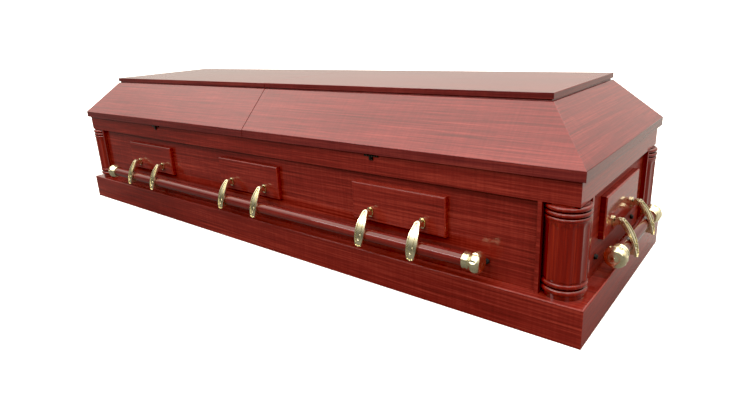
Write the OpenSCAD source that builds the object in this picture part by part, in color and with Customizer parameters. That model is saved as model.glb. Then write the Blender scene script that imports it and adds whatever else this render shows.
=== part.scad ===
// Wooden funeral casket with a two-part hipped lid, fluted corner columns and swing-bar handles.
// Millimetres. +X runs along the casket, -Y is the front long side, +Z is up.
// The origin is on the ground, under the middle of the plinth.

/* [Overall] */
// Length of the plinth that the casket stands on
plinth_l = 2110; // [1900:10:2600]
// Width of the plinth
plinth_w = 678; // [560:2:840]
// Height of the plinth
plinth_h = 91; // [60:1:120]
// Height of the case rim, where the lids rest
rim_z = 354; // [320:1:440]
// Height of the lids above the rim
lid_h = 154; // [120:1:200]

/* [Plinth] */
// Thickness of the plinth's outer boards
plinth_t = 18; // [12:1:24]
// Thickness of the ledge board on top of the plinth
ledge_t = 16; // [10:1:24]
// Width of the ledge in front of the case band, at each end
ledge_end = 25; // [18:1:50]
// Width of the ledge in front of the case band, on each long side
ledge_side = 20; // [16:1:50]
// Gap round the case where it passes through the plinth
plinth_fit = 0.3; // [0.1:0.1:1]
// Chamfer on the plinth's upper edge
plinth_ease = 2; // [1:0.5:5]

/* [Case] */
// Height of the raised band under the rim
band_h = 54; // [30:1:80]
// Depth that the wall panels are set back behind the band
setback = 12; // [6:1:16]
// Thickness of the wall panels
wall_t = 18; // [12:1:24]
// Thickness of the bottom board
floor_t = 18; // [12:1:24]
// Width of the upright strip beside each corner column
stile_w = 10; // [6:1:30]

/* [Lids] */
// Distance that the lids' lip overhangs the band
lip_over = 9; // [4:1:14]
// Height of the upright lip
lip_h = 23; // [14:1:34]
// Distance from the lip in to the edge of the flat top plate
slope_run = 110; // [80:1:140]
// Thickness of the top plate's edge
plate_t = 14; // [10:1:22]
// Height of the shadow strip under the top plate
strip_h = 4.5; // [2:0.5:8]
// Depth of the shadow strip behind the plate's edge
strip_in = 5; // [2:0.5:10]
// Thickness of the sloping boards
lid_t = 15; // [10:1:20]
// Thickness of the ceiling board under the top plate
ceiling_t = 10; // [6:1:16]
// Thickness of the board that closes each lid at the seam
header_t = 15; // [10:1:24]
// Place of the seam between the lids, from the middle
seam_x = 8; // [-300:1:300]
// Width of the seam
seam_gap = 2; // [1:0.5:4]

/* [Corner columns] */
// Radius of the fluted shaft
shaft_r = 46.2; // [38:0.2:52]
// Distance that a column's rings stand out in front of the band faces
column_proud = 12; // [4:1:20]
// Depth of the flats on a column's hidden back
column_flat = 7; // [4:1:20]
// Number of flutes round a column
flutes = 12; // [8:2:16]
// Radius of the cutter that leaves the flutes
flute_cut_r = 40; // [30:1:60]
// Width of the flat strip between two flutes
fillet_w = 1.8; // [1:0.2:4]
// Gap between a column and its seat
column_fit = 0.2; // [0.1:0.1:0.5]
// Distance that the rings stand out from the shaft
ring_out = 1.8; // [1:0.2:4]
// Half height of the two rings at a column's foot
foot_ring_h = 7; // [5:0.5:8]
// Height of the lowest ring's middle above the ledge
foot_ring_z = 18; // [14:1:22]
// Half height of the two rings at a column's head
head_ring_h = 5.5; // [4:0.5:6]
// Distance of the highest ring's middle below the band
head_ring_drop = 7.5; // [7:0.5:12]
// Half height of the thin ring that the flutes run into
collar_h = 5; // [3:0.5:5.5]

/* [Handle blocks] */
// Length of the blocks on the long sides
block_l = 286; // [240:1:340]
// Length of the blocks on the ends
end_block_l = 280; // [230:1:300]
// Height of the blocks
block_h = 102; // [90:1:120]
// Thickness of the blocks
block_t = 14; // [13:1:20]
// Height of the blocks above the ledge
block_lift = 79; // [76:1:100]
// Distance between neighbouring blocks' middles on a long side
block_pitch = 582; // [480:1:600]
// Bevel round each block's face
block_bevel = 2.5; // [1:0.5:5]

/* [Bars] */
// Radius of the wooden bars
bar_r = 16.5; // [12:0.5:19]
// Length of bar that shows between the tips, on the long sides
side_bar_l = 1590; // [1400:10:1640]
// Length of bar that shows between the tips, at the ends
end_bar_l = 268; // [230:1:290]
// Distance of a bar's axis out from the block's face
bar_out = 33; // [30:0.5:38]
// Distance of a bar's axis below the arms' pivots
bar_drop = 54; // [48:1:60]
// Gap between the bar and what holds it
bar_fit = 0.3; // [0.1:0.1:0.5]
// Length of a metal tip
tip_l = 46; // [36:1:56]
// Largest radius of a tip
tip_r = 26; // [22:0.5:28]
// Radius of a tip's neck
tip_neck_r = 19.5; // [18.5:0.5:22]
// Length of a tip's plain collar
collar_l = 15; // [12:1:20]
// Radius of the rounding of a tip's crown
crown_round = 14; // [8:1:16]
// Radius of the hollows between a tip's lobes
lobe_r = 7; // [4:0.5:10]
// Depth of the hollows between a tip's lobes
lobe_d = 2; // [0.5:0.5:3]
// Depth that the bar goes into a tip
tip_socket = 12; // [8:1:16]
// Number of lobes round a tip
tip_lobes = 8; // [6:1:12]

/* [Arms and lugs] */
// Distance between the two arms on a block
arm_pair = 161; // [120:1:190]
// Radius of the inner face of an arm's bow
bow_r = 145; // [110:1:200]
// Thickness of an arm's plate
arm_t = 5; // [4:0.5:7]
// Greatest half width of an arm
arm_half = 15; // [12:0.5:18]
// Half width of an arm at its top
arm_top_half = 8; // [7:0.5:10]
// Width of the raised rim round an arm's field
arm_rim = 3; // [2:0.5:4]
// Depth of an arm's field below its rim
field_d = 1.6; // [0.8:0.2:2]
// Height of the pivot above the block's lower edge
pivot_up = 30; // [28:1:40]
// Distance of the pivot out from the block's face
pivot_out = 13; // [12.5:0.5:16]
// Radius of the pivot pin
pin_r = 2.5; // [2:0.1:3]
// Gap between the pin and the arm's eye
pin_fit = 0.1; // [0.05:0.01:0.1]
// Radius of an arm's eye
eye_r = 8.2; // [7:0.1:8.5]
// Width of an arm's eye
eye_w = 8; // [6:0.5:10]
// Gap on each side of the eye
eye_fit = 0.4; // [0.3:0.1:0.8]
// Thickness of each ear of a lug
ear_t = 3; // [2.5:0.5:4]
// Thickness of a lug's foot
foot_t = 3.5; // [2.5:0.5:3.5]
// Half width of a lug's foot
foot_half = 8.5; // [8:0.5:13]

/* [Hidden] */
$fn = 64;
OVER = 1; // how far a cut or a hidden overlap reaches past its face
mahogany = [0.42, 0.12, 0.10];
column_red = [0.50, 0.13, 0.08];
bar_red = [0.36, 0.08, 0.07];
pale_brass = [0.85, 0.77, 0.52];

// Case and plinth
band_l = plinth_l - 2 * ledge_end;
band_w = plinth_w - 2 * ledge_side;
band_z = rim_z - band_h;
panel_l = band_l - 2 * setback;
panel_w = band_w - 2 * setback;
inside_l = panel_l - 2 * wall_t;
inside_w = panel_w - 2 * wall_t;
upright_h = band_z - plinth_h;

// Lids
lip_l = band_l + 2 * lip_over;
lip_w = band_w + 2 * lip_over;
top_z = rim_z + lid_h;
lip_z = rim_z + lip_h;
plate_z = top_z - plate_t;
strip_z = plate_z - strip_h;
ceiling_z = plate_z - ceiling_t;
slope_rise = strip_z - lip_z;
board_run = lid_t * norm([slope_run, slope_rise]) / slope_rise;

// Columns
ring_r = shaft_r + ring_out;
column_inset = ring_r - column_proud;
seat = column_inset + ring_r - column_flat;
core_r = shaft_r - 5;
flute_half_turn = 180 / flutes;
flute_half = flute_half_turn - fillet_w / 2 / shaft_r * 180 / PI;
flute_bed = shaft_r * cos(flute_half)
    - (flute_cut_r - sqrt(pow(flute_cut_r, 2) - pow(shaft_r * sin(flute_half), 2)));
upper_foot_z = foot_ring_z + 2 * foot_ring_h + 1;
flute_lo = upper_foot_z + foot_ring_h + 0.5;
top_ring_z = upright_h - head_ring_drop;
second_ring_z = top_ring_z - 2 * head_ring_h - 1;
collar_z = second_ring_z - head_ring_h - collar_h - 0.5;
flute_end = sqrt(pow(flute_cut_r, 2) - pow(flute_cut_r - shaft_r + flute_bed, 2));
flute_hi = collar_z - collar_h - flute_end;

// Handles, in the (out, up) plane of a side: out from the block's face, up from the ground
block_z = plinth_h + block_lift;
pivot = [pivot_out, block_z + pivot_up];
bar_axis = [bar_out, pivot[1] - bar_drop];
ear_r = eye_r - 2;
eye_bite = 1.5; // how far the eye runs into the bow
round_lap = 0.4; // how far an arm's rounded top reaches down over its arcs
// The bow's middle is where its inner face clears the bar and takes in the eye.
bow_to_bar = bow_r - bar_r - bar_fit;
bow_to_pivot = bow_r - eye_r + eye_bite;
bar_to_pivot = norm(pivot - bar_axis);
up_link = (pivot - bar_axis) / bar_to_pivot;
in_link = [-up_link[1], up_link[0]];
link_part = (pow(bow_to_bar, 2) - pow(bow_to_pivot, 2) + pow(bar_to_pivot, 2)) / (2 * bar_to_pivot);
bow = bar_axis + link_part * up_link + sqrt(pow(bow_to_bar, 2) - pow(link_part, 2)) * in_link;
arm_wide_z = bar_axis[1] + 12; // height where an arm is widest
arm_top_z = pivot[1] + eye_r + 1;
arm_foot_z = bar_axis[1] - bar_r - 10;

SIDES = ["front", "back", "right_end", "left_end"];
ENDS = ["left", "right"];
function is_long(s) = s < 2;
function side_turn(s) = [0, 180, 90, -90][s];
function face_out(s) = (is_long(s) ? panel_w : panel_l) / 2 + block_t;
function block_xs(s) = is_long(s) ? [-block_pitch, 0, block_pitch] : [0];
function arm_xs(s) = [for (x = block_xs(s), a = [-0.5, 0.5]) x + a * arm_pair];
function bar_half(s) = (is_long(s) ? side_bar_l : end_bar_l) / 2;
function corner_name(sx, sy) = str(sy < 0 ? "front" : "back", sx < 0 ? "_left" : "_right", "_column");

// ---- helpers ----

// A box centred on the origin in plan, between two heights.
module plan_box(l, w, z0, z1) {
    translate([-l / 2, -w / 2, z0]) cube([l, w, z1 - z0]);
}

// A box between two corners.
module span(lo, hi) {
    translate(lo) cube(hi - lo);
}

// Repeats a piece of the +X +Y corner at all four corners.
module at_corners() {
    for (sx = [1, -1], sy = [1, -1]) at_corner(sx, sy) children();
}

module at_corner(sx, sy) {
    mirror([1 - sx, 0, 0]) mirror([0, 1 - sy, 0]) children();
}

// Extrudes a (y, z) outline along X.
module along_x(l) {
    rotate([90, 0, 90]) linear_extrude(l, center = true) children();
}

// Extrudes an (x, z) outline along Y.
module along_y(w) {
    rotate([90, 0, 0]) linear_extrude(w, center = true) children();
}

// Moves a piece drawn with the block's face at y = 0 and outwards along -Y to side s.
module on_side(s) {
    rotate(side_turn(s)) translate([0, -face_out(s), 0]) children();
}

// Extrudes an (out, up) outline along the bar.
module along_bar(w) {
    rotate([90, 0, -90]) linear_extrude(w, center = true) children();
}

// Extrudes an (x, up) outline outwards from the block's face.
module outwards(d) {
    rotate([90, 0, 0]) linear_extrude(d) children();
}

// ---- plinth and case ----

// An outline with its two upper corners taken off.
function eased(half, z, ease) =
    [[-half, 0], [half, 0], [half, z - ease], [half - ease, z], [ease - half, z], [-half, z - ease]];

module plinth() {
    color(mahogany) difference() {
        intersection() {
            along_x(plinth_l) polygon(eased(plinth_w / 2, plinth_h, plinth_ease));
            along_y(plinth_w) polygon(eased(plinth_l / 2, plinth_h, plinth_ease));
        }
        plan_box(plinth_l - 2 * plinth_t, plinth_w - 2 * plinth_t, -OVER, plinth_h - ledge_t);
        plan_box(panel_l + 2 * plinth_fit, panel_w + 2 * plinth_fit, -OVER, plinth_h + OVER);
    }
}

module case() {
    color(mahogany) difference() {
        union() {
            plan_box(panel_l, panel_w, 0, rim_z);
            plan_box(band_l, band_w, band_z, rim_z);
            at_corners() stiles();
        }
        at_corners() span([band_l / 2 - seat, band_w / 2 - seat, plinth_h],
            [band_l / 2 + OVER, band_w / 2 + OVER, band_z]);
        difference() {
            plan_box(inside_l, inside_w, floor_t, rim_z + OVER);
            at_corners() span([band_l / 2 - seat - wall_t, band_w / 2 - seat - wall_t, 0],
                [band_l / 2, band_w / 2, rim_z + 2 * OVER]);
        }
    }
}

// The upright strips on both sides of a column's seat, flush with the band.
module stiles() {
    span([band_l / 2 - seat - stile_w, panel_w / 2 - OVER, plinth_h],
        [band_l / 2 - seat, band_w / 2, band_z + OVER]);
    span([panel_l / 2 - OVER, band_w / 2 - seat - stile_w, plinth_h],
        [band_l / 2, band_w / 2 - seat, band_z + OVER]);
}

// ---- lids ----

// Both halves of a symmetric outline, from the points of its right half.
function both_sides(right) =
    concat(right, [for (i = [len(right) - 1:-1:0]) [-right[i][0], right[i][1]]]);

// The lids' outline across one axis: lip, slope, shadow strip and plate.
function crown(half) = let (p = half - slope_run) both_sides([
    [half, rim_z], [half, lip_z], [p, strip_z], [p - strip_in, strip_z],
    [p - strip_in, plate_z], [p, plate_z], [p, top_z]
]);

// The hollow under the lids: upright to the knee, then along the slope to the ceiling.
function hollow(half, inside) =
    let (knee = max(0, half - board_run - inside),
         lift = slope_rise / slope_run,
         near_top = half - board_run - (ceiling_z - lip_z) / lift)
    both_sides([[inside, rim_z - OVER], [inside, lip_z + knee * lift], [near_top, ceiling_z]]);

module crown_block() {
    intersection() {
        along_x(lip_l) polygon(crown(lip_w / 2));
        along_y(lip_w) polygon(crown(lip_l / 2));
    }
}

module crown_hollow() {
    intersection() {
        along_x(lip_l) polygon(hollow(lip_w / 2, inside_w / 2));
        along_y(lip_w) polygon(hollow(lip_l / 2, inside_l / 2));
    }
}

// The part of the crown between two places along X, closed by a header at the seam.
module lid(x0, x1, hollow_x0, hollow_x1) {
    color(mahogany) difference() {
        intersection() {
            crown_block();
            span([x0, -lip_w, 0], [x1, lip_w, top_z + OVER]);
        }
        intersection() {
            crown_hollow();
            span([hollow_x0, -lip_w, 0], [hollow_x1, lip_w, top_z]);
        }
    }
}

module left_lid() {
    seam = seam_x - seam_gap / 2;
    lid(-lip_l, seam, -lip_l, seam - header_t);
}

module right_lid() {
    seam = seam_x + seam_gap / 2;
    lid(seam, lip_l, seam + header_t, lip_l);
}

// ---- corner columns ----

// A half-round ring at a height, standing out to a radius.
module ring(z, h, r) {
    rotate_extrude() translate([r - h, z]) circle(h);
}

module flute() {
    translate([flute_bed + flute_cut_r, 0, flute_lo]) {
        cylinder(r = flute_cut_r, h = flute_hi - flute_lo);
        translate([0, 0, flute_hi - flute_lo]) sphere(flute_cut_r);
    }
}

// The whole round column: a plain core, the fluted shaft and the rings.
module turned_column() {
    cylinder(r = core_r, h = upright_h);
    difference() {
        translate([0, 0, upper_foot_z]) cylinder(r = shaft_r, h = collar_z - upper_foot_z);
        for (i = [0:flutes - 1]) rotate((2 * i + 1) * flute_half_turn) flute();
    }
    for (z = [foot_ring_z, upper_foot_z]) ring(z, foot_ring_h, ring_r);
    for (z = [second_ring_z, top_ring_z]) ring(z, head_ring_h, ring_r);
    ring(collar_z, collar_h, ring_r - 0.4);
}

module column(sx, sy) {
    reach = plinth_w;
    back = column_inset - seat + column_fit;
    color(column_red) at_corner(sx, sy)
        translate([band_l / 2 - column_inset, band_w / 2 - column_inset, plinth_h]) difference() {
            turned_column();
            span([-reach, -reach, -OVER], [back, reach, reach]);
            span([-reach, -reach, -OVER], [reach, back, reach]);
        }
}

// ---- handle blocks ----

module block(s, x) {
    l = is_long(s) ? block_l : end_block_l;
    color(mahogany) on_side(s) translate([x, 0, block_z]) intersection() {
        along_x(l) polygon([[0, block_bevel], [block_bevel, 0], [block_t, 0], [block_t, block_h],
            [block_bevel, block_h], [0, block_h - block_bevel]]);
        linear_extrude(block_h) polygon([[-l / 2, block_bevel], [block_bevel - l / 2, 0],
            [l / 2 - block_bevel, 0], [l / 2, block_bevel], [l / 2, block_t], [-l / 2, block_t]]);
    }
}

// ---- swing-bar handles ----

// Foot plate, two ears and the pivot pin, in one casting.
module lug(s, x) {
    foot_mid = pivot[1] - 2;
    color(pale_brass) on_side(s) translate([x, 0, 0]) {
        outwards(foot_t) {
            for (z = [-5, 5]) translate([0, foot_mid + z]) circle(foot_half);
            translate([-foot_half, foot_mid - 5]) square([2 * foot_half, 10]);
        }
        for (side = [-1, 1])
            translate([side * (eye_w / 2 + eye_fit + ear_t / 2), 0, 0]) along_bar(ear_t) ear();
        along_bar(eye_w + 2 * eye_fit + ear_t) translate(pivot) circle(pin_r);
    }
}

// An ear's side outline: round at the pin, with its root low on the foot.
module ear() {
    root = foot_t - 0.5;
    translate(pivot) circle(ear_r);
    polygon([
        pivot + ear_r * [cos(115), sin(115)], [root, pivot[1] - 1], [root, pivot[1] - 13],
        pivot + ear_r * [cos(-40), sin(-40)]
    ]);
}

// The bow of an arm seen from the side, as a layer between two radii.
module bow_layer(r0, r1) {
    difference() {
        translate(bow) circle(r1);
        translate(bow) circle(r0);
        translate([pivot_out - 4 * bow_r, 0]) square(4 * bow_r);
    }
}

// An arm seen from the front, drawn in by a margin: a long drop with a scalloped foot.
module drop(margin) {
    half = arm_half - margin;
    upper = arm_top_z - arm_top_half - arm_wide_z;
    lower = arm_wide_z - arm_foot_z - 7;
    top_half = arm_top_half - margin;
    foot_half_w = 10 - margin;
    drop_half(half, top_half, upper, 1);
    drop_half(half, foot_half_w, lower, -1);
    translate([0, arm_top_z - arm_top_half - round_lap]) circle(top_half + round_lap);
    for (p = [[-5.5, 7], [0, 5], [5.5, 7]])
        translate([p[0], arm_foot_z + p[1]]) circle(5 - margin / 2);
}

// One half of the drop: two arcs that narrow from the widest place to an end.
module drop_half(half, end_half, h, up) {
    sink = half - end_half;
    r = (h * h + sink * sink) / (2 * sink);
    translate([0, arm_wide_z]) intersection() {
        translate([-half, up > 0 ? 0 : -h]) square([2 * half, h]);
        translate([half - r, 0]) circle(r, $fn = 180);
        translate([r - half, 0]) circle(r, $fn = 180);
    }
}

// The long boss in the middle of an arm's field.
module field_boss() {
    mid = arm_wide_z + 14;
    half = arm_half / 3;
    h = 28;
    r = (h * h + half * half) / (2 * half);
    translate([0, mid]) intersection() {
        translate([half - r, 0]) circle(r, $fn = 180);
        translate([r - half, 0]) circle(r, $fn = 180);
    }
}

// Plate, field and boss of an arm.
module arm_plate() {
    out = bow_r + arm_t;
    reach = 2 * bow_r;
    difference() {
        intersection() {
            along_bar(2 * arm_half + 2) bow_layer(bow_r, out);
            outwards(reach) drop(0);
        }
        intersection() {
            along_bar(2 * arm_half + 2) bow_layer(out - field_d, out + 5);
            outwards(reach) drop(arm_rim);
        }
    }
    intersection() {
        along_bar(arm_half) bow_layer(out - field_d - 1, out - 0.2);
        outwards(reach) field_boss();
    }
}

// Rib from the eye down to just above the bar.
module arm_rib() {
    along_bar(7) intersection() {
        bow_layer(bow_r - 7, bow_r + 1);
        translate([0, bar_axis[1] + bar_r + 4]) square([2 * bow_r, pivot[1] - bar_axis[1] - bar_r]);
    }
}

// Cradle under the bar, which carries it.
module arm_cradle() {
    along_bar(10) difference() {
        intersection() {
            translate(bow) circle(bow_r + 1);
            union() {
                translate(bar_axis) circle(bar_r + bar_fit + 4);
                translate([bar_out + 4, arm_foot_z + 5]) square([2 * bar_r, bar_r]);
            }
            translate([bar_out - 10, arm_foot_z + 4]) square([3 * bar_r, bar_r + 2]);
        }
        translate(bar_axis) circle(bar_r + bar_fit);
    }
}

module arm(s, x) {
    color(pale_brass) on_side(s) translate([x, 0, 0]) difference() {
        union() {
            arm_plate();
            arm_rib();
            arm_cradle();
            along_bar(eye_w) translate(pivot) circle(eye_r);
        }
        along_bar(eye_w + 2 * OVER) translate(pivot) circle(pin_r + pin_fit);
    }
}

module bar(s) {
    color(bar_red) on_side(s)
        along_bar(2 * (bar_half(s) + tip_socket - bar_fit)) translate(bar_axis) circle(bar_r);
}

// A tip's outline along its axis: beaded collar, flared crown and round end.
module tip_outline() {
    crown_z = tip_l - crown_round - 1;
    polygon([[0, 0], [tip_neck_r, 0], [tip_neck_r, collar_l], [tip_r, crown_z],
        [tip_r - crown_round, tip_l - 1], [0, tip_l - 1]]);
    intersection() {
        translate([tip_r - crown_round, crown_z]) circle(crown_round);
        square([tip_r + OVER, tip_l]);
    }
    for (z = [2.5, collar_l - 2]) translate([tip_neck_r - 1, z]) circle(2.5);
    translate([0, tip_l - 7]) intersection() {
        circle(7);
        square(7);
    }
}

module tip(s, end) {
    color(pale_brass) on_side(s)
        translate([end * bar_half(s), -bar_axis[0], bar_axis[1]]) rotate([0, end * 90, 0])
        difference() {
            rotate_extrude() tip_outline();
            translate([0, 0, -OVER]) cylinder(r = bar_r + bar_fit, h = tip_socket + OVER);
            for (i = [0:tip_lobes - 1]) rotate((i + 0.5) * 360 / tip_lobes)
                translate([tip_r + lobe_r - lobe_d, 0, collar_l + 2]) cylinder(r = lobe_r, h = tip_l);
        }
}

// ---- what is drawn ----

plinth();
case();
left_lid();
right_lid();
for (sx = [-1, 1], sy = [-1, 1])
    column(sx, sy);
for (s = [0:3]) {
    for (i = [1:len(block_xs(s))])
        block(s, block_xs(s)[i - 1]);
    for (i = [1:len(arm_xs(s))]) {
        lug(s, arm_xs(s)[i - 1]);
        arm(s, arm_xs(s)[i - 1]);
    }
    bar(s);
    for (e = [0, 1])
        tip(s, 2 * e - 1);
}
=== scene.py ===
"""Looks of a lacquered mahogany casket: veneers, fluted columns, brass handles, studio and camera."""

from __future__ import annotations

import logging
import math
from dataclasses import dataclass
from enum import Enum
from typing import Callable, ClassVar, Iterable, Optional, Union

import bmesh
import bpy
from mathutils import Matrix, Vector
from mathutils.bvhtree import BVHTree

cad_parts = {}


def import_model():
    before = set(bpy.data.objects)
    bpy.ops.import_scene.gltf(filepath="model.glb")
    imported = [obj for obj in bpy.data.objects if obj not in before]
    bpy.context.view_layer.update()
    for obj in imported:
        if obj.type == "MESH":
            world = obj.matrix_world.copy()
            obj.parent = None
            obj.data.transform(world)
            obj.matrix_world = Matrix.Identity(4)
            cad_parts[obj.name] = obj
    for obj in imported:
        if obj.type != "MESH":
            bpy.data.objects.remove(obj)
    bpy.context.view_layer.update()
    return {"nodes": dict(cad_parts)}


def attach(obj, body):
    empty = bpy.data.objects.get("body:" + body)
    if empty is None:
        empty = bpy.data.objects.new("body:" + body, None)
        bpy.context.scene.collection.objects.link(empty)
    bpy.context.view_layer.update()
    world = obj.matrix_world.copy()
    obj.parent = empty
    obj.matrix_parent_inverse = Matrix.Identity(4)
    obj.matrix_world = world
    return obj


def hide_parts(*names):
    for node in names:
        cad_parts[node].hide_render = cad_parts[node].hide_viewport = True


LOG = logging.getLogger("casket")
Colour = tuple[float, float, float]
Point = tuple[float, float, float]
MM = 0.001
BLACK = (0.0, 0.0, 0.0)
ROOT = "casket"


class Axis(Enum):
    """The direction that a veneer's grain runs in."""

    X = 0
    Y = 1
    Z = 2

    def scale(self, along: float, across: float) -> Point:
        """Pattern scale per axis: along the grain and across it."""
        return tuple(along if i == self.value else across for i in range(3))


class Side(Enum):
    """The four sides that carry a handle, with the turn that brings the front to each."""

    FRONT = ("front", 0.0)
    BACK = ("back", math.pi)
    RIGHT_END = ("right_end", math.pi / 2)
    LEFT_END = ("left_end", -math.pi / 2)

    @property
    def label(self) -> str:
        """The side's name in the frame."""
        return self.value[0]

    @property
    def turn(self) -> Matrix:
        """Rotation that brings a piece made for the front to this side."""
        return Matrix.Rotation(self.value[1], 4, "Z")

    @property
    def is_long(self) -> bool:
        """Whether this is one of the two long sides."""
        return self in (Side.FRONT, Side.BACK)

    @property
    def body(self) -> str:
        """The moving body of this side's handle."""
        return self.label + "_handle"


# ---- shader expressions ----


@dataclass(frozen=True)
class Wire:
    """An output socket that takes part in Python arithmetic."""

    graph: "Graph"
    socket: Optional[bpy.types.NodeSocket]

    def _math(self, operation: str, a: "Number", b: "Number") -> "Wire":
        """One Math node with two inputs."""
        return self.graph.node("ShaderNodeMath", {"operation": operation}, {0: a, 1: b})

    def __add__(self, other: "Number") -> "Wire":
        """Sum."""
        return self._math("ADD", self, other)

    def __sub__(self, other: "Number") -> "Wire":
        """Difference."""
        return self._math("SUBTRACT", self, other)

    def __rsub__(self, other: "Number") -> "Wire":
        """Difference from a number."""
        return self._math("SUBTRACT", other, self)

    def __mul__(self, other: "Number") -> "Wire":
        """Product."""
        return self._math("MULTIPLY", self, other)

    __radd__ = __add__
    __rmul__ = __mul__

    def above(self, edge: float, width: float) -> "Wire":
        """A soft step from 0 to 1 that starts at an edge.

        Args:
            edge: Value where the step starts.
            width: How far the step takes to reach 1.

        Returns:
            The stepped value.
        """
        return self.graph.node(
            "ShaderNodeMapRange", {"interpolation_type": "SMOOTHSTEP"}, {0: self, 1: edge, 2: edge + width}
        )


Number = Union[float, Wire]


@dataclass
class Graph:
    """Builds the nodes of one material or world."""

    tree: bpy.types.NodeTree

    def node(self, kind: str, settings: dict, sockets: dict, output: Union[int, str] = 0) -> Wire:
        """Adds one node.

        Args:
            kind: The node's type name.
            settings: Attributes that are set first; "stops" fills a colour ramp.
            sockets: Values or links for its inputs, by name or number.
            output: The output that is returned.

        Returns:
            The chosen output.
        """
        made = self.tree.nodes.new(kind)
        for key, value in settings.items():
            if key == "stops":
                self._stops(made.color_ramp, value)
            else:
                setattr(made, key, value)
        for key, value in sockets.items():
            if isinstance(value, Wire):
                self.tree.links.new(value.socket, made.inputs[key])
            else:
                made.inputs[key].default_value = value
        return Wire(self, made.outputs[output] if made.outputs else None)

    @staticmethod
    def _stops(ramp: bpy.types.ColorRamp, stops: list[tuple[float, Colour]]) -> None:
        """Fills a ramp's stops in order."""
        while len(ramp.elements) < len(stops):
            ramp.elements.new(1.0)
        for element, (place, colour) in zip(ramp.elements, stops):
            element.position = place
            element.color = (*colour, 1.0)

    def coordinates(self, scale: Point, shift: Point = (0.0, 0.0, 0.0)) -> Wire:
        """Object coordinates, stretched and moved."""
        place = self.node("ShaderNodeTexCoord", {}, {}, "Object")
        return self.node("ShaderNodeMapping", {}, {"Vector": place, "Scale": scale, "Location": shift})

    def noise(self, scale: Point, detail: float = 3.0, warp: float = 0.0, shift: Point = (0, 0, 0)) -> Wire:
        """Noise on stretched object coordinates.

        Args:
            scale: How fast it changes along each axis, per metre.
            detail: How many finer layers it has.
            warp: How much its shapes are bent.
            shift: How far it is moved.

        Returns:
            The noise, from 0 to 1.
        """
        where = self.coordinates(scale, shift)
        return self.node(
            "ShaderNodeTexNoise", {}, {"Vector": where, "Scale": 1.0, "Detail": detail, "Distortion": warp}
        )

    def bump(self, height: Wire, strength: float, distance: float) -> Wire:
        """A Bump node from a height."""
        return self.node("ShaderNodeBump", {}, {"Height": height, "Strength": strength, "Distance": distance})

    def tint(self, factor: Number, a: Union[Wire, Colour], b: Union[Wire, Colour]) -> Wire:
        """Mixes two colours.

        Args:
            factor: Share of the second colour.
            a: The first colour.
            b: The second colour.

        Returns:
            The mixed colour.
        """
        first, second = (c if isinstance(c, Wire) else (*c, 1.0) for c in (a, b))
        return self.node("ShaderNodeMix", {"data_type": "RGBA"}, {0: factor, 6: first, 7: second}, 2)

    def open_air(self, reach: float) -> Wire:
        """How open a point is to its surroundings, from 0 in a hollow to 1 in the open; the finishes paint
        shade into hollows with it.
        """
        return self.node("ShaderNodeAmbientOcclusion", {"samples": 4}, {"Distance": reach}, "AO")

    def seen(self) -> Wire:
        """1 for what the camera sees straight, 0 for what is mirrored or throws light."""
        return self.node("ShaderNodeLightPath", {}, {}, "Is Camera Ray")


class Finish:
    """Base of every finish: makes its material once and keeps it."""

    _made: ClassVar[dict[str, bpy.types.Material]] = {}

    def material(self) -> bpy.types.Material:
        """The Blender material of this finish."""
        if self.name not in Finish._made:
            made = bpy.data.materials.new(self.name)
            made.use_nodes = True
            made.node_tree.nodes.clear()
            graph = Graph(made.node_tree)
            shader = graph.node("ShaderNodeBsdfPrincipled", {}, self.sockets(graph))
            graph.node("ShaderNodeOutputMaterial", {}, {"Surface": shader})
            Finish._made[self.name] = made
        return Finish._made[self.name]


@dataclass(frozen=True)
class Figure:
    """One layer of a veneer's pattern."""

    along: float
    across: float
    detail: float
    warp: float = 0.0

    def noise(self, g: Graph, grain: Axis, shift: Point) -> Wire:
        """The layer as noise, from 0 to 1."""
        return g.noise(grain.scale(self.along, self.across), self.detail, self.warp, shift)


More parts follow.
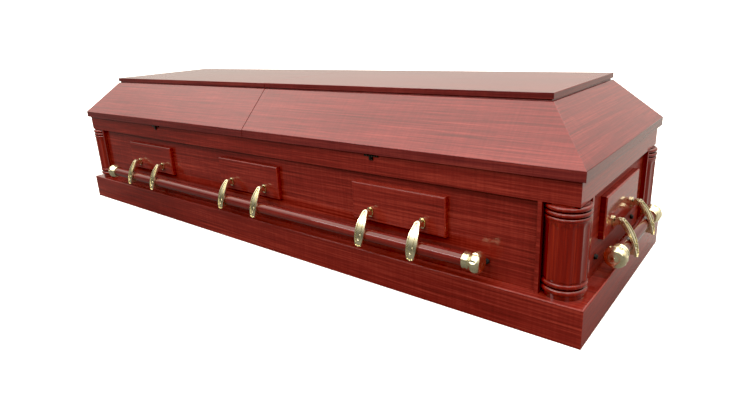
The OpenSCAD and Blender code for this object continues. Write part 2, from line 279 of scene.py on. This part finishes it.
@dataclass(frozen=True)
class Veneer(Finish):
    """Lacquered mahogany veneer."""

    broad: ClassVar[Figure] = Figure(0.9, 7.0, 3.0, 0.6)
    streak: ClassVar[Figure] = Figure(3.2, 210.0, 4.0, 0.5)
    hair: ClassVar[Figure] = Figure(11.0, 620.0, 3.0)
    cross: ClassVar[Figure] = Figure(150.0, 12.0, 2.0)
    pore: ClassVar[Figure] = Figure(22.0, 900.0, 1.0)

    name: str
    grain: Axis
    dark: Colour = (0.068, 0.0065, 0.0046)
    middle: Colour = (0.162, 0.0135, 0.0098)
    light: Colour = (0.285, 0.0370, 0.0235)
    coat: float = 0.50
    coat_roughness: float = 0.07
    roughness: float = 0.42
    specular: float = 0.06
    fleck: float = 0.10
    # Reach of the painted shade in hollows, which darkens where the surroundings close in; 0 paints none.
    hollow: float = 0.0
    shift: Point = (0.0, 0.0, 0.0)
    broad_share: float = 0.26
    streak_share: float = 0.42
    fine_share: float = 0.32
    tone_stops: tuple[float, float, float] = (0.36, 0.50, 0.64)
    pore_edge: float = 0.58
    pore_soft: float = 0.10
    pore_dark: float = 0.45
    painted_shade_edge: float = 0.45
    painted_shade_dark: float = 0.25
    sheen_swing: float = 0.12
    hair_rise: float = 0.6
    relief: float = 0.6 * MM
    relief_strength: float = 0.06

    def sockets(self, g: Graph) -> dict:
        """The shader's inputs: banded figure, fine streaks, pores, cross fleck and, where hollow is set,
        painted shade in the hollows.
        """
        layers = (self.broad, self.streak, self.hair, self.cross, self.pore)
        broad, streak, hair, cross, pore = (layer.noise(g, self.grain, self.shift) for layer in layers)
        figure = (
            broad * self.broad_share
            + streak * self.streak_share
            + hair * (self.fine_share - self.fleck)
            + cross * self.fleck
        )
        tones = list(zip(self.tone_stops, (self.dark, self.middle, self.light)))
        body = g.node("ShaderNodeValToRGB", {"stops": tones}, {0: figure})
        pores = pore.above(self.pore_edge, self.pore_soft)
        colour = g.tint(pores * self.pore_dark, body, self.dark)
        # Painted shade: the colour darkens toward a quarter of the dark tone in hollows and crevices.
        if self.hollow:
            out = g.open_air(self.hollow).above(self.painted_shade_edge, self.painted_shade_edge)
            colour = g.tint(out, tuple(c * self.painted_shade_dark for c in self.dark), colour)
        return {
            "Base Color": colour,
            "Roughness": streak * self.sheen_swing + (self.roughness - self.sheen_swing / 2),
            "Specular IOR Level": self.specular,
            "Coat Weight": self.coat,
            "Coat Roughness": self.coat_roughness,
            "Normal": g.bump(hair * self.hair_rise - pores, self.relief_strength, self.relief),
        }


@dataclass(frozen=True)
class Brass(Finish):
    """Polished pale brass with a trace of wear in its lacquer, and painted shade, tinted like tarnished
    brass, in its hollows.
    """

    name: str
    pale: Colour = (0.94, 0.87, 0.60)
    deep: Colour = (0.72, 0.58, 0.30)
    # Colour of the hollows: a tarnished brown that stands for both patina and shade there.
    tarnish_and_shade: Colour = (0.24, 0.16, 0.06)
    hollow: float = 6 * MM
    painted_shade_step: tuple[float, float] = (0.20, 0.55)
    roughness: float = 0.21
    cloud_scale: float = 60.0
    cloud_step: tuple[float, float] = (0.40, 0.35)
    cloud_deep: float = 0.55
    cloud_dull: float = 0.10
    grit_scale: float = 900.0
    grit_dull: float = 0.05
    evening: float = 0.07
    grit_rise: float = 0.2
    relief: float = 0.6 * MM
    relief_strength: float = 0.10

    def sockets(self, g: Graph) -> dict:
        """The shader's inputs: warm clouds, light brushing, small dents, and painted shade in the hollows,
        tinted like tarnished brass.
        """
        cloud = g.noise((self.cloud_scale,) * 3, 3.0, 0.5)
        grit = g.noise((self.grit_scale,) * 3, 2.0)
        worn = g.tint(cloud.above(*self.cloud_step) * self.cloud_deep, self.pale, self.deep)
        return {
            # Partly patina and partly painted shade: hollows are tinted toward a tarnished brown where the
            # surroundings close in.
            "Base Color": g.tint(g.open_air(self.hollow).above(*self.painted_shade_step), self.tarnish_and_shade, worn),
            "Metallic": 1.0,
            "Roughness": cloud * self.cloud_dull + grit * self.grit_dull + (self.roughness - self.evening),
            "Normal": g.bump(cloud + grit * self.grit_rise, self.relief_strength, self.relief),
        }


@dataclass(frozen=True)
class Dull(Finish):
    """Rubber or blackened steel, by its colour and roughness."""

    name: str
    colour: Colour
    worn: Colour
    roughness: float
    metallic: float = 0.0
    specular: float = 0.25
    mottle_scale: float = 220.0
    mottle_step: tuple[float, float] = (0.45, 0.30)
    mottle_dull: float = 0.2
    grit_scale: float = 1600.0
    relief: float = 0.3 * MM
    relief_strength: float = 0.15

    def sockets(self, g: Graph) -> dict:
        """The shader's inputs: mottled colour and a fine grit."""
        mottle = g.noise((self.mottle_scale,) * 3, 4.0)
        grit = g.noise((self.grit_scale,) * 3, 1.0)
        return {
            "Base Color": g.tint(mottle.above(*self.mottle_step), self.colour, self.worn),
            "Metallic": self.metallic,
            "Specular IOR Level": self.specular,
            "Roughness": mottle * self.mottle_dull + (self.roughness - self.mottle_dull / 2),
            "Normal": g.bump(grit, self.relief_strength, self.relief),
        }


@dataclass(frozen=True)
class Paper(Finish):
    """The plain pale studio floor."""

    name: str
    colour: Colour = (0.90, 0.90, 0.90)
    near_bounce: Colour = (0.09, 0.09, 0.09)
    far_bounce: Colour = (0.28, 0.28, 0.28)
    far_edge: float = -0.5
    far_soft: float = 1.0
    glow: float = 0.5
    roughness: float = 0.95
    specular: float = 0.1

    def sockets(self, g: Graph) -> dict:
        """The shader's inputs: white where it is seen, grey where it only throws light back."""
        seen = g.seen()
        depth = g.node("ShaderNodeSeparateXYZ", {}, {0: g.coordinates((1.0,) * 3)}, 1)
        bounced = g.tint(depth.above(self.far_edge, self.far_soft), self.near_bounce, self.far_bounce)
        return {
            "Base Color": g.tint(seen, bounced, self.colour),
            "Emission Color": g.tint(seen, BLACK, self.colour),
            "Emission Strength": self.glow,
            "Roughness": self.roughness,
            "Specular IOR Level": self.specular,
        }


# Faces turned to the ends take lighter, redder tones of the same veneer: painted light, as on the lit end.
END_LIT_TONES = ((0.110, 0.006, 0.004), (0.225, 0.014, 0.008), (0.330, 0.034, 0.018))
# Lid veneer in a shaded copy: the upright lip and plate edges take darker tones, painted shade.
LIP_SHADE_TONES = ((0.054, 0.006, 0.006), (0.125, 0.014, 0.013), (0.215, 0.032, 0.024))
# Lid veneer in a lit copy: the slopes take pinker, lighter tones, a painted sheen of the sky.
LID_SHEEN_TONES = ((0.086, 0.006, 0.006), (0.176, 0.014, 0.015), (0.280, 0.036, 0.030))
TURNED_TONES = ((0.095, 0.002, 0.0006), (0.165, 0.005, 0.0010), (0.270, 0.018, 0.0035))
BAR_TONES = ((0.055, 0.004, 0.003), (0.115, 0.007, 0.005), (0.185, 0.018, 0.011))
WALL_X = Veneer("veneer_along", Axis.X)
WALL_Y = Veneer("veneer_across", Axis.Y, *END_LIT_TONES, 0.85, shift=(3.1, 0.0, 0.4))
PANEL_Y = Veneer("end_panel_veneer", Axis.Y, coat=0.10, shift=(1.7, 0.0, 0.9))
UPRIGHT = Veneer("veneer_upright", Axis.Z)
LEDGE_X = Veneer("ledge_veneer_along", Axis.X, coat=1.0)
LID_X = Veneer("lid_veneer_along", Axis.X, *LID_SHEEN_TONES, 1.0)
LID_Y = Veneer("lid_veneer_across", Axis.Y, *LID_SHEEN_TONES, 1.0)
LIP_X = Veneer("lip_veneer_along", Axis.X, *LIP_SHADE_TONES, 0.6)
LIP_Y = Veneer("lip_veneer_across", Axis.Y, *LIP_SHADE_TONES, 0.85)
# The turned columns get painted shade in the hollows of their flutes and rings.
TURNED = Veneer("turned_wood", Axis.Z, *TURNED_TONES, 1.0, 0.03, fleck=0.0, hollow=0.010)
BAR_X = Veneer("bar_wood_along", Axis.X, *BAR_TONES, 1.0, 0.04)
BAR_Y = Veneer("bar_wood_across", Axis.Y, *BAR_TONES, 1.0, 0.04)
BRASS = Brass("pale_brass")
RUBBER = Dull("black_rubber", (0.012, 0.012, 0.013), (0.03, 0.03, 0.03), 0.6)
STEEL = Dull("blackened_steel", (0.02, 0.018, 0.018), (0.09, 0.08, 0.07), 0.35, 0.8)


# ---- meshes ----

Chooser = Callable[[Vector, Vector], int]
STEEP = 0.5


@dataclass
class Piece:
    """One finished mesh: where it rides, what it replaces and how it is dressed."""

    name: str
    body: str
    slot: Optional[str]
    finishes: tuple[Finish, ...]
    replaces: tuple[str, ...] = ()

    def place(
        self,
        bm: bmesh.types.BMesh,
        choose: Optional[Chooser] = None,
        sharp: float = 30.0,
        strip: float = math.inf,
    ) -> bpy.types.Object:
        """Turns a bmesh into an object that rides on its body.

        Args:
            bm: The mesh, in metres in the shared frame; it is freed.
            choose: Picks a finish's number from a face's normal and middle.
            sharp: Edges that turn more than this many degrees stay crisp.
            strip: Faces wider than this are flat boards; narrower ones are shaded round.

        Returns:
            The new object.
        """
        bm.normal_update()
        limit = math.radians(sharp)
        for edge in bm.edges:
            edge.smooth = len(edge.link_faces) == 2 and edge.calc_face_angle(0.0) < limit
        for face in bm.faces:
            face.smooth = 2 * face.calc_area() / face.calc_perimeter() < strip
            if choose:
                face.material_index = choose(face.normal, face.calc_center_median())
        mesh = bpy.data.meshes.new(self.name)
        bm.to_mesh(mesh)
        bm.free()
        made = bpy.data.objects.new(self.name, mesh)
        bpy.context.scene.collection.objects.link(made)
        for finish in self.finishes:
            mesh.materials.append(finish.material())
        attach(made, self.body)
        if self.replaces:
            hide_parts(*self.replaces)
        LOG.info("%s: %d faces on %s", self.name, len(mesh.polygons), self.body)
        return made


def welded(node: bpy.types.Object, weld: float = 0.002 * MM) -> bmesh.types.BMesh:
    """A copy of a frame node's mesh with its doubled corners merged.

    Args:
        node: The frame's node.
        weld: Corners this near are one.

    Returns:
        The copy.
    """
    bm = bmesh.new()
    bm.from_mesh(node.data)
    bmesh.ops.remove_doubles(bm, verts=bm.verts, dist=weld)
    return bm


def boarded(node: bpy.types.Object, flat: float = 0.4) -> bmesh.types.BMesh:
    """A copy of a frame node's mesh with each flat side as one face.

    Args:
        node: The frame's node.
        flat: Faces within this many degrees of each other are joined.

    Returns:
        The copy.
    """
    bm = welded(node)
    bmesh.ops.dissolve_limit(
        bm,
        angle_limit=math.radians(flat),
        use_dissolve_boundaries=False,
        verts=bm.verts,
        edges=bm.edges,
        delimit=set(),
    )
    return bm


def ease(bm: bmesh.types.BMesh, width: float, segments: int = 2, turn: float = 15.0) -> None:
    """Rounds a mesh's corners a little.

    Args:
        bm: The mesh.
        width: Width of the rounding.
        segments: Steps across it.
        turn: Only edges that turn more than this many degrees are rounded.
    """
    bm.normal_update()
    edges = [e for e in bm.edges if len(e.link_faces) == 2 and e.calc_face_angle(0.0) > math.radians(turn)]
    bmesh.ops.bevel(
        bm,
        geom=edges,
        offset=width,
        segments=segments,
        profile=0.5,
        affect="EDGES",
        material=-1,
        clamp_overlap=True,
    )


def loop_bead(
    bm: bmesh.types.BMesh, ring_r: float, bead_r: float, steps: int = 36, sides: int = 10
) -> list[bmesh.types.BMVert]:
    """Adds a round bead bent into a closed ring that lies flat.

    Args:
        bm: The mesh that it is added to.
        ring_r: Radius of the ring.
        bead_r: Radius of the bead.
        steps: Steps round the ring.
        sides: Sides round the bead.

    Returns:
        The new vertices.
    """
    before = set(bm.verts)
    put = Matrix.Translation((ring_r, 0, 0)) @ Matrix.Rotation(math.pi / 2, 4, "X")
    edge = bmesh.ops.create_circle(bm, segments=sides, radius=bead_r, matrix=put)["verts"]
    lines = list({e for v in edge for e in v.link_edges})
    bmesh.ops.spin(
        bm, geom=edge + lines, cent=(0, 0, 0), axis=(0, 0, 1), angle=2 * math.pi, steps=steps, use_merge=True
    )
    made = [v for v in bm.verts if v not in before]
    faces = list({f for v in made for f in v.link_faces})
    bmesh.ops.recalc_face_normals(bm, faces=faces)
    return made


@dataclass
class Woodwork:
    """Plinth, case, lids and blocks: flat boards with eased edges."""

    nodes: dict[str, bpy.types.Object]
    board_ease: float = 0.9 * MM
    block_ease: float = 0.5 * MM
    strip: float = 1.4 * MM
    stile_z: tuple[float, float] = (91 * MM, 300 * MM)
    stile_x: float = 942 * MM
    stile_y: float = 231 * MM
    end_band_x: float = 1024 * MM
    level: float = 0.9
    upright: float = 0.3

    def by_side(self, normal: Vector, middle: Vector) -> int:
        """Grain along the board: 0 on long sides and level faces, 1 on the ends, whose tones are painted
        lighter.
        """
        return int(abs(normal.x) > STEEP)

    def by_plinth_part(self, normal: Vector, middle: Vector) -> int:
        """As by_side, with 2 for the glossy ledge on top."""
        return 2 if normal.z > self.level else self.by_side(normal, middle)

    def by_lid_part(self, normal: Vector, middle: Vector) -> int:
        """As by_side on slopes and top, with 2 and 3 for the upright edges of lip and plate, which take the
        darker, painted-shade tones.
        """
        return self.by_side(normal, middle) + (2 if abs(normal.z) < self.upright else 0)

    def by_case_part(self, normal: Vector, middle: Vector) -> int:
        """As by_side, with 2 for the upright strips beside the columns and 3 for the end panels."""
        low, high = self.stile_z
        corner = abs(middle.x) > self.stile_x and abs(middle.y) > self.stile_y
        if low < middle.z < high and abs(normal.z) < STEEP and corner:
            return 2
        if abs(normal.x) > STEEP and abs(middle.x) < self.end_band_x:
            return 3
        return self.by_side(normal, middle)

    def build(self) -> None:
        """Makes every flat-sided wooden piece."""
        walls = (WALL_X, WALL_Y, UPRIGHT, PANEL_Y)
        lids = (LID_X, LID_Y, LIP_X, LIP_Y)
        boards = {
            "plinth": ((WALL_X, WALL_Y, LEDGE_X), self.by_plinth_part),
            "case": (walls, self.by_case_part),
            "left_lid": (lids, self.by_lid_part),
            "right_lid": (lids, self.by_lid_part),
        }
        for name, (finishes, choose) in boards.items():
            self.board(name, name + "_boards", self.board_ease, finishes, choose)
        for name in sorted(n for n in self.nodes if "_block_" in n):
            self.board(name, name + "_board", self.block_ease, (WALL_X, WALL_Y), self.by_side)

    def board(
        self, name: str, finished: str, width: float, finishes: tuple[Finish, ...], choose: Chooser
    ) -> None:
        """Makes one flat-sided wooden piece with eased edges.

        Args:
            name: The frame's node that it replaces.
            finished: The new piece's name.
            width: Width of the eased edges.
            finishes: Its veneers.
            choose: Picks a veneer's number for a face.
        """
        bm = boarded(self.nodes[name])
        ease(bm, width)
        Piece(finished, ROOT, "mahogany", finishes, (name,)).place(bm, choose, strip=self.strip)


@dataclass
class Columns:
    """The four fluted corner columns."""

    nodes: dict[str, bpy.types.Object]
    sharp: float = 35.0

    def build(self) -> None:
        """Makes the four columns."""
        for name in sorted(n for n in self.nodes if n.endswith("_column")):
            bm = welded(self.nodes[name])
            Piece(name + "_turned", ROOT, "column_wood", (TURNED,), (name,)).place(bm, sharp=self.sharp)


@dataclass
class Handles:
    """Swing-bar handles: bars, tips, arms, lugs and the bumpers behind the tips."""

    nodes: dict[str, bpy.types.Object]
    bumper_r: float = 6.5 * MM
    bumper_z: float = 132 * MM
    bumper_reach: float = 7 * MM
    bumper_taper: float = 0.9
    bumper_sides: int = 32
    long_bumper_x: float = 827.5 * MM
    end_bumper_x: float = 155 * MM
    panel_y: float = 307 * MM
    panel_x: float = 1018 * MM
    block_t: float = 14 * MM
    foot_t: float = 3.5 * MM
    screw_z: tuple[float, float] = (188.5 * MM, 207.5 * MM)
    screw_r: float = 2.3 * MM
    screw_h: float = 1.2 * MM
    ray_start: float = -1.5
    head_drop: float = 8 * MM
    head_ring: tuple[float, float] = (2.6 * MM, 0.8 * MM)
    leaf_rise: float = 24 * MM
    leaf_ring: tuple[float, float] = (4.2 * MM, 0.9 * MM)
    leaf_stretch: float = 2.2

    def build(self) -> None:
        """Makes the four handles and their fittings."""
        for side in Side:
            grain = BAR_X if side.is_long else BAR_Y
            for name in sorted(n for n in self.nodes if n.startswith(side.label + "_")):
                if name.endswith("_bar"):
                    piece = Piece(name + "_wood", side.body, "bar_wood", (grain,), (name,))
                    piece.place(welded(self.nodes[name]))
                elif name.endswith("_tip") or "_arm_" in name or "_lug_" in name:
                    self.casting(name, side)
            for end in (-1, 1):
                self.bumper(side, end)

    def casting(self, name: str, side: Side) -> None:
        """Makes one tip, arm or lug in cast brass.

        Args:
            name: The frame's node that it replaces.
            side: The side that it is on.
        """
        bm = welded(self.nodes[name])
        fixed = "_lug_" in name
        if fixed:
            self.screws(bm, side)
        elif "_arm_" in name:
            self.relief(bm, side)
        Piece(name + "_cast", ROOT if fixed else side.body, "brass", (BRASS,), (name,)).place(bm)

    def relief(self, bm: bmesh.types.BMesh, side: Side) -> None:
        """Adds the cast ring at the head of an arm and the leaf near its foot.

        Args:
            bm: The arm's mesh.
            side: The side that it is on.
        """
        bm.transform(side.turn.inverted())
        surface = BVHTree.FromBMesh(bm)
        low, high = (pick(v.co.z for v in bm.verts) for pick in (min, max))
        middle = sum(pick(v.co.x for v in bm.verts) for pick in (min, max)) / 2
        beads = (
            (high - self.head_drop, self.head_ring, 1.0),
            (low + self.leaf_rise, self.leaf_ring, self.leaf_stretch),
        )
        for z, (ring_r, bead_r), stretch in beads:
            spot, normal, _, _ = surface.ray_cast(Vector((middle, self.ray_start, z)), Vector((0, 1, 0)))
            lean = normal.to_track_quat("Z", "Y").to_matrix().to_4x4()
            shape = Matrix.Diagonal((1.0, stretch, 1.0, 1.0))
            verts = loop_bead(bm, ring_r, bead_r)
            bmesh.ops.transform(bm, matrix=Matrix.Translation(spot) @ lean @ shape, verts=verts)
        bm.transform(side.turn)

    def screws(self, bm: bmesh.types.BMesh, side: Side) -> None:
        """Adds the two round-headed screws that hold a lug's foot.

        Args:
            bm: The lug's mesh.
            side: The side that it is on.
        """
        away = (self.panel_y if side.is_long else self.panel_x) + self.block_t + self.foot_t
        spots = [side.turn.inverted() @ v.co for v in bm.verts]
        middle = (min(p.x for p in spots) + max(p.x for p in spots)) / 2
        for z in self.screw_z:
            head = bmesh.ops.create_uvsphere(bm, u_segments=20, v_segments=10, radius=1.0)["verts"]
            shape = Matrix.Diagonal((self.screw_r, self.screw_h, self.screw_r, 1.0))
            put = side.turn @ Matrix.Translation((middle, -away, z)) @ shape
            bmesh.ops.transform(bm, matrix=put, verts=head)

    def bumper(self, side: Side, end: int) -> None:
        """Makes the rubber bumper behind one tip, a round stud on the panel.

        Args:
            side: The side that it is on.
            end: -1 or 1, the end of the bar.
        """
        reach = self.bumper_reach
        bm = bmesh.new()
        bmesh.ops.create_cone(
            bm,
            cap_ends=True,
            segments=self.bumper_sides,
            radius1=self.bumper_r,
            radius2=self.bumper_r * self.bumper_taper,
            depth=reach,
        )
        rims = [e for e in bm.edges if all(v.co.z > 0 for v in e.verts)]
        bmesh.ops.bevel(bm, geom=rims, offset=reach / 3, segments=3, profile=0.5, affect="EDGES", material=-1)
        away = self.panel_y if side.is_long else self.panel_x
        along = end * (self.long_bumper_x if side.is_long else self.end_bumper_x)
        stand = Matrix.Translation((along, -away - reach / 2, self.bumper_z))
        bm.transform(side.turn @ stand @ Matrix.Rotation(math.pi / 2, 4, "X"))
        word = "left" if end < 0 else "right"
        Piece(f"{side.label}_{word}_bumper", ROOT, None, (RUBBER,)).place(bm)


@dataclass
class Catches:
    """Small blackened catches on the band under the lids' lip."""

    places: tuple[float, ...] = (-510 * MM, 510 * MM)
    band_y: float = 319 * MM
    top_z: float = 352.5 * MM
    plate: tuple[float, float, float] = (46 * MM, 2 * MM, 6 * MM)
    tab: tuple[float, float, float] = (12 * MM, 3.5 * MM, 15 * MM)
    corner: float = 0.5 * MM

    def build(self) -> None:
        """Makes the catches on both long sides."""
        for side in (Side.FRONT, Side.BACK):
            for number, x in enumerate(self.places, 1):
                bm = bmesh.new()
                for size in (self.plate, self.tab):
                    made = bmesh.ops.create_cube(bm, size=1.0)["verts"]
                    middle = (x, -self.band_y - size[1] / 2, self.top_z - size[2] / 2)
                    put = Matrix.Translation(middle) @ Matrix.Diagonal((*size, 1.0))
                    bmesh.ops.transform(bm, matrix=put, verts=made)
                ease(bm, self.corner)
                bm.transform(side.turn)
                Piece(f"{side.label}_catch_{number}", ROOT, None, (STEEL,)).place(bm)


@dataclass(frozen=True)
class Softbox:
    """One soft light that faces the casket."""

    name: str
    place: Point
    width: float
    height: float
    watts: float
    aim: Point = (0.0, 0.0, 0.3)

    def hang(self) -> None:
        """Makes the light and turns it to the casket."""
        data = bpy.data.lights.new(self.name, "AREA")
        data.shape, data.size, data.size_y, data.energy = "RECTANGLE", self.width, self.height, self.watts
        made = bpy.data.objects.new(self.name, data)
        made.location = self.place
        ahead = Vector(self.aim) - Vector(self.place)
        made.rotation_euler = ahead.to_track_quat("-Z", "Y").to_euler()
        bpy.context.scene.collection.objects.link(made)


@dataclass
class Studio:
    """Camera, lights, world and floor."""

    place: Point = (1.3373, -1.3442, 0.6614)
    yaw: float = math.radians(40.29)
    pitch: float = math.radians(16.99)
    roll: float = math.radians(-3.18)
    lens: float = 25.625
    shift: tuple[float, float] = (0.0194, -0.0258)
    floor_size: float = 60.0
    softboxes: tuple[Softbox, ...] = (
        Softbox("long_strip", (-0.6, -3.0, 2.0), 3.6, 0.3, 34.0),
        Softbox("corner_strip", (2.6, -2.0, 1.4), 0.9, 1.4, 6.0),
    )
    sky: tuple[tuple[float, float], ...] = (
        (0.0, 0.19), (0.105, 0.20), (0.253, 0.25), (0.444, 0.38), (0.617, 0.77), (0.87, 0.97), (1.0, 0.99),
    )
    sky_tint: Colour = (1.02, 0.97, 0.86)
    sky_strength: float = 3.3
    front_shade: float = 0.88
    front_step: tuple[float, float] = (-0.55, 0.60)
    low_step: tuple[float, float] = (0.10, 0.45)
    backdrop: float = 1.1

    def build(self) -> None:
        """Sets up everything around the casket."""
        self.camera()
        self.floor()
        self.world()
        for softbox in self.softboxes:
            softbox.hang()

    def camera(self) -> None:
        """Makes the camera and turns it to its view."""
        data = bpy.data.cameras.new("camera")
        data.lens, data.sensor_width, data.sensor_fit = self.lens, 36.0, "HORIZONTAL"
        data.shift_x, data.shift_y = self.shift
        data.clip_start, data.clip_end = 0.01, 200.0
        made = bpy.data.objects.new("camera", data)
        level = math.cos(self.pitch)
        ahead = Vector((-math.sin(self.yaw) * level, math.cos(self.yaw) * level, -math.sin(self.pitch)))
        right = ahead.cross(Vector((0, 0, 1))).normalized()
        up = right.cross(ahead)
        rolled_right = math.cos(self.roll) * right + math.sin(self.roll) * up
        rolled_up = math.cos(self.roll) * up - math.sin(self.roll) * right
        turn = Matrix((rolled_right, rolled_up, -ahead)).transposed().to_4x4()
        made.matrix_world = Matrix.Translation(self.place) @ turn
        bpy.context.scene.collection.objects.link(made)
        bpy.context.scene.camera = made

    def floor(self) -> None:
        """Makes the pale floor."""
        bm = bmesh.new()
        bmesh.ops.create_grid(bm, x_segments=1, y_segments=1, size=self.floor_size / 2)
        mesh = bpy.data.meshes.new("floor")
        bm.to_mesh(mesh)
        bm.free()
        made = bpy.data.objects.new("floor", mesh)
        mesh.materials.append(Paper("floor_paper").material())
        bpy.context.scene.collection.objects.link(made)

    def world(self) -> None:
        """Makes a soft surround that grows brighter overhead and reads white behind the casket."""
        world = bpy.data.worlds.new("studio")
        bpy.context.scene.world = world
        world.use_nodes = True
        world.node_tree.nodes.clear()
        g = Graph(world.node_tree)
        direction = g.node("ShaderNodeTexCoord", {}, {}, "Generated")
        height = g.node("ShaderNodeSeparateXYZ", {}, {0: direction}, 2)
        stops = [(z, tuple(level * part for part in self.sky_tint)) for z, level in self.sky]
        sky = g.node("ShaderNodeValToRGB", {"stops": stops}, {0: height})
        depth = g.node("ShaderNodeSeparateXYZ", {}, {0: direction}, 1)
        shade = (1.0 - depth.above(*self.front_step)) * (1.0 - height.above(*self.low_step))
        sky = g.tint(shade * self.front_shade, sky, BLACK)
        around = g.node("ShaderNodeBackground", {}, {"Color": sky, "Strength": self.sky_strength})
        white = (1.0, 1.0, 1.0, 1.0)
        behind = g.node("ShaderNodeBackground", {}, {"Color": white, "Strength": self.backdrop})
        both = g.node("ShaderNodeMixShader", {}, {0: g.seen(), 1: around, 2: behind})
        g.node("ShaderNodeOutputWorld", {}, {"Surface": both})


def develop(view: bpy.types.ColorManagedViewSettings, black: float = 0.006) -> None:
    """Sets a plain tone curve with slightly deepened blacks.

    Args:
        view: The scene's view settings.
        black: Level that is shown as black.
    """
    view.view_transform = "Standard"
    view.use_curve_mapping = True
    view.curve_mapping.black_level = (black,) * 3
    view.curve_mapping.update()


def main() -> None:
    """Builds the casket's looks around the frame."""
    logging.basicConfig(level=logging.INFO, format="%(name)s %(message)s")
    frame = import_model()
    develop(bpy.context.scene.view_settings)
    nodes = frame["nodes"]
    for part in (Woodwork(nodes), Columns(nodes), Handles(nodes), Catches()):
        part.build()
    Studio().build()


if __name__ == "__main__":
    main()
